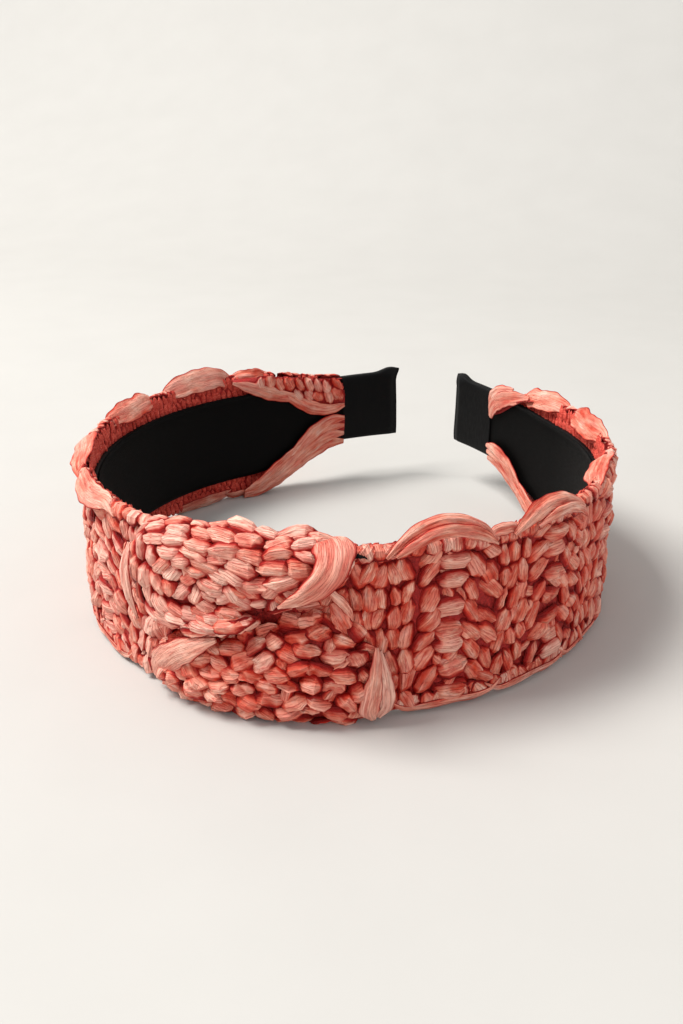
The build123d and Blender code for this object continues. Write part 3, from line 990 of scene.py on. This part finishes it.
def build_flap(name):
    """A fold of the braid over one edge, on the lining; a lone strand has leaves beside it."""
    side = name.split("_")[0]
    sign, (start, _, _, edge, spread) = SIDES[side], FLAPS[name]
    rng = np.random.default_rng(SEED + 30 + sorted(FLAPS).index(name))
    outer = top_edge if edge > 0 else low_edge

    def offset(face, f):
        return FLAP_R[face > 0] + 1.4 * f**3

    def height(s, f):
        low, high = flap_border(name, s), outer(s) - edge * 0.6
        return low + (high - low) * f

    along = np.arange(start, TAPER_END + 0.01, 0.5)
    ground = slab(sign, along, np.linspace(0, 1, 14), offset, height, turn=edge)
    rows = []
    for s in sign * np.arange(start + 3, TAPER_END - 1, 3.3):
        z = outer(s) - edge * 2.2
        while len(spread) == 1 and (z - flap_border(name, s)) * edge > 0.6:
            rows.append((
                -s + rng.normal(0, 0.3), z + rng.normal(0, 0.3),
                math.radians(90 + rng.uniform(8, 40)),
                6.0 * rng.uniform(0.85, 1.15), 4.2 * rng.uniform(0.85, 1.15), 1.4, -0.1,
            ))
            z -= edge * 3.5
    loops = [strand(path, rng, tone=0.6) for path in HOOKS] if name == "right_upper" else []
    middle, most_bow = (start + TAPER_END) / 2, 2.2 if rows else 1.2
    for over in spread:
        for a, b in ((start - 1, middle + 4), (middle - 4, TAPER_END - 0.3)):
            path = []
            for f, w in ((0, 0.2), (0.2, 0.75), (0.5, 1.0), (0.8, 0.8), (1, 0.35)):
                s = sign * (a + (b - a) * f)
                bow = most_bow * (1 - (2 * f - 1) ** 2)
                z = flap_border(name, s) * (1 - over) + outer(s) * over - edge * (bow - 0.6)
                path.append((s, FLAP_R[0] - 0.4 + 0.8 * over, z, 4.4 * w, 1.1 * w, 180))
            loops.append(strand(path, rng))
    parts = {"ground": ([ground], GROUND), "loops": (loops, STRAND)}
    if rows:
        parts["leaves"] = ([leaves(flap_in, rows, rng)], BRAID)
    made = [mesh_piece(f"{name}_flap_{key}.look", *part) for key, part in parts.items()]
    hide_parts(f"{name}_flap")
    for piece in made:
        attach(piece, f"{side}_arm")


# ---- the knot

THROAT = (6.0, 26.3)
UPPER_OUTLINE = [
    (-22.5, 22.5), (-24.0, 32.0), (-20.5, 39.6), (-9.0, 42.4), (8.0, 42.8), (18.5, 42.2),
    (23.0, 39.0), (21.5, 34.5), (15.0, 31.2), (8.0, 27.4), (2.0, 21.8), (-6.0, 19.6),
    (-16.0, 19.8),
]
UPPER_BULGE, UPPER_ROUND = 5.6, 6.5
FAN_FROM, FAN_TO = math.radians(30), math.radians(229)
FAN_SCALE = 15.0


def polar_outline():
    """The upper lobe's outline as distance from the throat by angle."""
    line = smooth_line(UPPER_OUTLINE, 400, closed=True) - THROAT
    angle = np.mod(np.arctan2(line[:, 1], line[:, 0]), 2 * math.pi)
    order = np.argsort(angle)
    return angle[order], np.hypot(line[:, 0], line[:, 1])[order]


FAN_ANGLES, FAN_REACH = polar_outline()


def upper_lobe(p, q):
    """The upper lobe: p is the angle about the throat, and q runs inwards from the outline."""
    angle = p / FAN_SCALE
    reach = np.interp(angle, FAN_ANGLES, FAN_REACH)
    round_in = np.minimum(UPPER_ROUND, 0.6 * reach)
    ends = smoothstep((angle - FAN_FROM + 0.25) / 0.7) * smoothstep((FAN_TO - angle + 0.5) / 0.9)
    bulge = UPPER_BULGE * (0.35 + 0.65 * ends)
    rim_length = math.pi / 2 * np.sqrt((round_in**2 + bulge**2) / 2)
    a = np.clip(q / rim_length, 0, 1) * math.pi / 2
    past = np.clip(q - rim_length, 0, reach - round_in)
    fall = np.clip(past / np.maximum(reach - round_in, 1), 0, 1)
    inward = round_in * (1 - np.cos(a)) + past
    r = BRAID_OUT - 1.4 + bulge * np.sin(a) * (1 - 0.3 * fall**2)
    s = THROAT[0] + (reach - inward) * np.cos(angle)
    z = THROAT[1] + (reach - inward) * np.sin(angle)
    return np.stack(np.broadcast_arrays(s, r, z), axis=-1)


def fan_rows(rng):
    """Leaves along the fan's rows, which run parallel to the lobe's outline."""
    rows = []
    p = np.linspace(FAN_FROM, FAN_TO, 300) * FAN_SCALE
    length = np.interp(p / FAN_SCALE, FAN_ANGLES, FAN_REACH) - 0.6 * UPPER_ROUND + 4.5
    for row, q in enumerate(np.arange(1.0, 36, 2.75)):
        run = distances(upper_lobe(p, np.full(p.shape, q)))
        for at in np.arange(1.5 + (row % 2) * 2.6, run[-1] - 0.5, 5.2):
            where = np.interp(at + rng.normal(0, 0.4), run, p)
            if q > np.interp(where, p, length) - 1.2:
                continue
            lean, long = (26, 6.2) if q > 12 else (12, 7.6)
            rows.append((
                where, q + rng.normal(0, 0.2), math.radians(rng.normal(0, lean)),
                long * rng.uniform(0.78, 1.15), 4.2 * rng.uniform(0.8, 1.2),
                1.9 * rng.uniform(0.8, 1.25), 0.0,
            ))
    spots = spots_over(np.linspace(FAN_FROM, FAN_TO, 70) * FAN_SCALE, np.arange(0.8, 33, 0.8), rng)
    return rows + fill_gaps(upper_lobe, rows, spots, 2.1, rng)


LOWER_TOP = [(-19.5, 12.0), (-15.0, 17.2), (-6.0, 17.9), (3.0, 19.8), (10.0, 23.2), (17.0, 25.0),
             (23.0, 23.0), (28.0, 16.0)]
LOWER_LOW = [(-19.5, 4.0), (-12.0, 0.4), (0.0, 0.1), (14.0, 0.1), (24.0, 0.2), (28.0, 5.0)]
LOWER_BULGE = 4.8
Q_SCALE = 26.0


def lower_lobe(s, q):
    """The lower lobe: q is 0 on its lower edge and Q_SCALE on its upper edge."""
    high = np.interp(s, *np.array(LOWER_TOP).T)
    low = np.interp(s, *np.array(LOWER_LOW).T)
    a = np.clip(q / Q_SCALE, 0, 1) * math.pi
    ends = np.clip(1 - np.abs((s - 4.2) / 24.5) ** 3.5, 0, 1) ** 0.5
    z = low + (high - low) * (0.5 - 0.5 * np.cos(a))
    r = BRAID_OUT - 1.4 + LOWER_BULGE * ends * np.abs(np.sin(a)) ** 0.75
    return np.stack(np.broadcast_arrays(s, r, z), axis=-1)


def lower_rows(rng):
    """Staggered rows of short wedge-like leaves, evenly spaced over the lower lobe."""
    rows = []
    q = np.linspace(0, Q_SCALE, 200)
    run = distances(lower_lobe(np.full(q.shape, 4.0), q))
    for row, at in enumerate(np.arange(1.6, run[-1] - 0.8, 3.1)):
        for s in np.arange(-17.8 + (row % 2) * 2.2, 26.8, 4.4):
            rows.append((
                s + rng.normal(0, 0.4), np.interp(at + rng.normal(0, 0.35), run, q),
                math.radians(rng.normal(-10, 26)), 5.9 * rng.uniform(0.8, 1.15),
                4.7 * rng.uniform(0.8, 1.15), 2.7 * rng.uniform(0.8, 1.2), rng.uniform(-0.4, 0.2),
            ))
    spots = spots_over(np.arange(-18, 27.2, 0.9), np.arange(1, Q_SCALE - 0.6, 0.6), rng)
    return rows + fill_gaps(lower_lobe, rows, spots, 2.2, rng)


def lobe_ground(surface, p, q):
    """A lobe's closed red body under its leaves, from its surface and a flat back."""
    grid_p, grid_q = np.meshgrid(p, q, indexing="ij")
    front = surface(grid_p, grid_q)
    front[..., 1] -= 0.5
    back = front[:, ::-1].copy()
    back[..., 1] = 0.6
    return skin(np.concatenate([front, back], axis=1))


# Strands of the knot, each as rows of (s, r, z, width, height, facing angle).
KNOT_STRANDS = {
    "wrap_strand": [
        (18.0, -0.5, 41.2, 4.6, 0.8, 110), (19.4, 3.6, 42.3, 7.2, 1.0, 75),
        (20.0, 7.4, 41.0, 7.4, 1.2, 38), (19.2, 9.2, 38.2, 6.0, 1.4, 10),
        (17.0, 9.8, 35.2, 5.0, 1.4, -8), (14.0, 9.2, 32.4, 3.7, 1.2, -18),
        (10.0, 7.4, 29.3, 0.7, 0.5, -25),
    ],
    "neck_strand": [
        (18.4, 6.6, 34.0, 1.0, 0.7, 0), (20.1, 6.4, 31.9, 1.9, 0.9, 0),
        (21.6, 5.5, 29.6, 2.0, 0.9, 0), (22.9, 4.0, 26.5, 1.2, 0.8, 0),
        (23.4, 3.2, 24.6, 0.5, 0.5, 0),
    ],
    "left_strand": [
        (-24.0, 5.4, 35.4, 0.9, 0.6, 20), (-23.1, 7.8, 31.0, 2.7, 0.9, 5),
        (-22.3, 8.2, 25.4, 2.7, 0.9, 0), (-22.6, 6.0, 18.0, 0.7, 0.6, -10),
    ],
    "left_leaf": [
        (-20.6, 3.2, 2.6, 3.2, 0.7, -20), (-17.6, 4.9, 7.4, 6.6, 1.0, -12),
        (-13.4, 6.6, 12.2, 6.6, 1.2, -4), (-8.0, 7.3, 16.4, 4.8, 1.2, 10),
        (-2.8, 6.6, 19.2, 1.2, 0.7, 20),
    ],
    "right_leaf_front": [
        (28.0, 4.8, 19.0, 0.8, 0.7, 0), (27.8, 5.6, 14.0, 2.4, 1.1, -4),
        (27.0, 5.8, 8.4, 3.9, 1.3, -6), (26.6, 5.2, 3.8, 4.0, 1.3, -14),
        (27.4, 4.2, 1.4, 1.6, 0.8, -40),
    ],
    "right_leaf_back": [
        (28.6, 4.6, 18.0, 0.8, 0.7, 10), (29.5, 5.2, 14.0, 1.9, 1.0, 10),
        (30.1, 5.2, 9.0, 3.0, 1.2, 10), (29.9, 4.8, 4.6, 3.0, 1.2, -6),
        (28.6, 4.0, 1.8, 1.4, 0.8, -40),
    ],
}
# The red fold in the throat between the lobes, and the scrap of hoop cover beside the knot.
THROAT_STRANDS = [
    [(9.5, 0.6, 25.2, 1.0, 0.5, 0), (14.0, 0.9, 26.2, 2.6, 0.7, 0), (19.0, 1.2, 27.6, 2.6, 0.7, 0),
     (24.0, 1.2, 29.0, 1.0, 0.5, 0)],
    [(19.4, 3.0, 28.4, 1.2, 0.6, 0), (20.6, 3.8, 26.6, 3.4, 1.1, 0), (21.6, 4.0, 24.2, 3.6, 1.1, 0),
     (22.4, 3.4, 21.6, 1.2, 0.6, 0)],
]
SATIN_TUCK = [(22.4, 1.4, 37.2, 0.8, 0.2, 60), (24.0, 1.8, 38.7, 2.0, 0.3, 60),
              (26.0, 1.8, 38.6, 2.0, 0.3, 60), (27.6, 1.6, 37.2, 0.8, 0.2, 60)]


def build_knot():
    rng = np.random.default_rng(SEED + 50)
    fan_p = np.linspace(FAN_FROM, FAN_TO, 90) * FAN_SCALE
    lower_p, lower_q = np.linspace(-19.4, 27.9, 80), np.linspace(0, Q_SCALE, 50)
    # Painted light and shade: the upper lobe's leaves, facing the light, get paler tones, and the
    # lower lobe's redder ones.
    upper = leaves(upper_lobe, fan_rows(rng), rng, rigid=True, pale=(0.5, 1.0))
    lower = leaves(lower_lobe, lower_rows(rng), rng, crinkle=1.6, rigid=True, flat=3.0,
                   pale=(0.0, 0.65))
    fold = [strand(path, rng, tone=0.1) for path in THROAT_STRANDS]
    parts = {
        "upper_ground": ([lobe_ground(upper_lobe, fan_p, np.linspace(0, 34, 50))], GROUND),
        "lower_ground": ([lobe_ground(lower_lobe, lower_p, lower_q)], GROUND, "knot_back_strip"),
        "upper_leaves": ([upper], BRAID, "knot_upper_lobe"),
        "lower_leaves": ([lower], BRAID, "knot_lower_lobe"),
        "throat_fold": (fold, BRAID, "knot_throat_fold"),
        "satin_tuck": ([strand(SATIN_TUCK, rng)], RIBBON),
    }
    own_nodes = {"right_leaf_front": ["knot_right_leaves"], "right_leaf_back": []}
    for name, path in KNOT_STRANDS.items():
        tone = 0.9 if name in ("left_strand", "right_leaf_back") else 0.65
        made = [strand(path, rng, 100, 34, 14, folds=6, depth=0.4, tone=tone)]
        parts[name] = (made, STRAND, *own_nodes.get(name, [f"knot_{name}"]))
    for name, (made, material, *nodes) in parts.items():
        piece = mesh_piece(f"knot_{name}.look", made, material)
        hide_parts(*nodes)
        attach(piece, "crown")


# ---- stage, light and camera


def build_stage():
    """A plain pale floor that sweeps up behind, as one smooth sheet."""
    near, far, half, radius, high = -1.6, 0.9, 2.2, 0.5, 1.8
    profile = [(near, 0.0), (far - radius, 0.0)]
    for a in np.linspace(0, math.pi / 2, 14)[1:]:
        profile.append((far - radius + radius * math.sin(a), radius - radius * math.cos(a)))
    profile.append((far, high))
    verts = [(x, y, z) for y, z in profile for x in (-half, half)]
    faces = [(2 * i, 2 * i + 1, 2 * i + 3, 2 * i + 2) for i in range(len(profile) - 1)]
    mesh = bpy.data.meshes.new("floor")
    mesh.from_pydata(verts, [], faces)
    mesh.polygons.foreach_set("use_smooth", [True] * len(faces))
    n = Nodes("pale_floor", 0.85)
    place_at = n.add("ShaderNodeTexCoord").outputs["Object"]
    cloud = n.noise(place_at, (30.0, 30.0, 30.0), 4.0)
    n.finish(n.mix(cloud, colour(190, 187, 182), colour(196, 193, 188)), n.bump(cloud, 0.1, 0.0005))
    mesh.materials.append(n.material)
    floor = bpy.data.objects.new("floor", mesh)
    bpy.context.scene.collection.objects.link(floor)


def area_light(name, place_at, size, power, tint):
    """A soft square lamp that looks at the headband."""
    light = bpy.data.lights.new(name, "AREA")
    light.size, light.energy, light.color = size, power, tint
    lamp = bpy.data.objects.new(name, light)
    bpy.context.scene.collection.objects.link(lamp)
    lamp.location = place_at
    x, y, z = np.array(place_at) - (0, 0, BRAID_MIDDLE * MM)
    lamp.rotation_euler = (math.atan2(math.hypot(x, y), z), 0, math.atan2(x, -y))


def build_light():
    world = bpy.data.worlds.new("studio")
    world.use_nodes = True
    sky = world.node_tree.nodes["Background"]
    sky.inputs["Color"].default_value = (0.94, 0.97, 1.0, 1)
    sky.inputs["Strength"].default_value = 0.62
    bpy.context.scene.world = world
    area_light("key", (-0.8, -0.3, 1.35), 0.7, 33.0, (1, 0.99, 0.97))
    area_light("fill", (0.55, -0.7, 0.45), 0.8, 0.8, (1, 1, 1))
    bpy.context.scene.view_settings.view_transform = "Standard"


# The camera looks down by PITCH from in front, turned by AZIMUTH to the right.
PITCH, AZIMUTH = math.radians(23.0), math.radians(19.27)
CAMERA_AT = (0.0833, -0.24494, 0.12749)
LENS, SENSOR = 36.5625, 36.0


def build_camera():
    camera = bpy.data.cameras.new("camera")
    camera.sensor_fit, camera.sensor_height = "VERTICAL", SENSOR
    camera.lens = LENS
    camera.clip_start = 0.01
    eye = bpy.data.objects.new("camera", camera)
    bpy.context.scene.collection.objects.link(eye)
    eye.location = CAMERA_AT
    eye.rotation_euler = (math.pi / 2 - PITCH, 0, AZIMUTH)
    bpy.context.scene.camera = eye


for side in SIDES:
    build_band(side)
    build_hoop(side)
    build_sleeve(side)
for flap in FLAPS:
    build_flap(flap)
build_knot()

build_stage()
build_light()
build_camera()
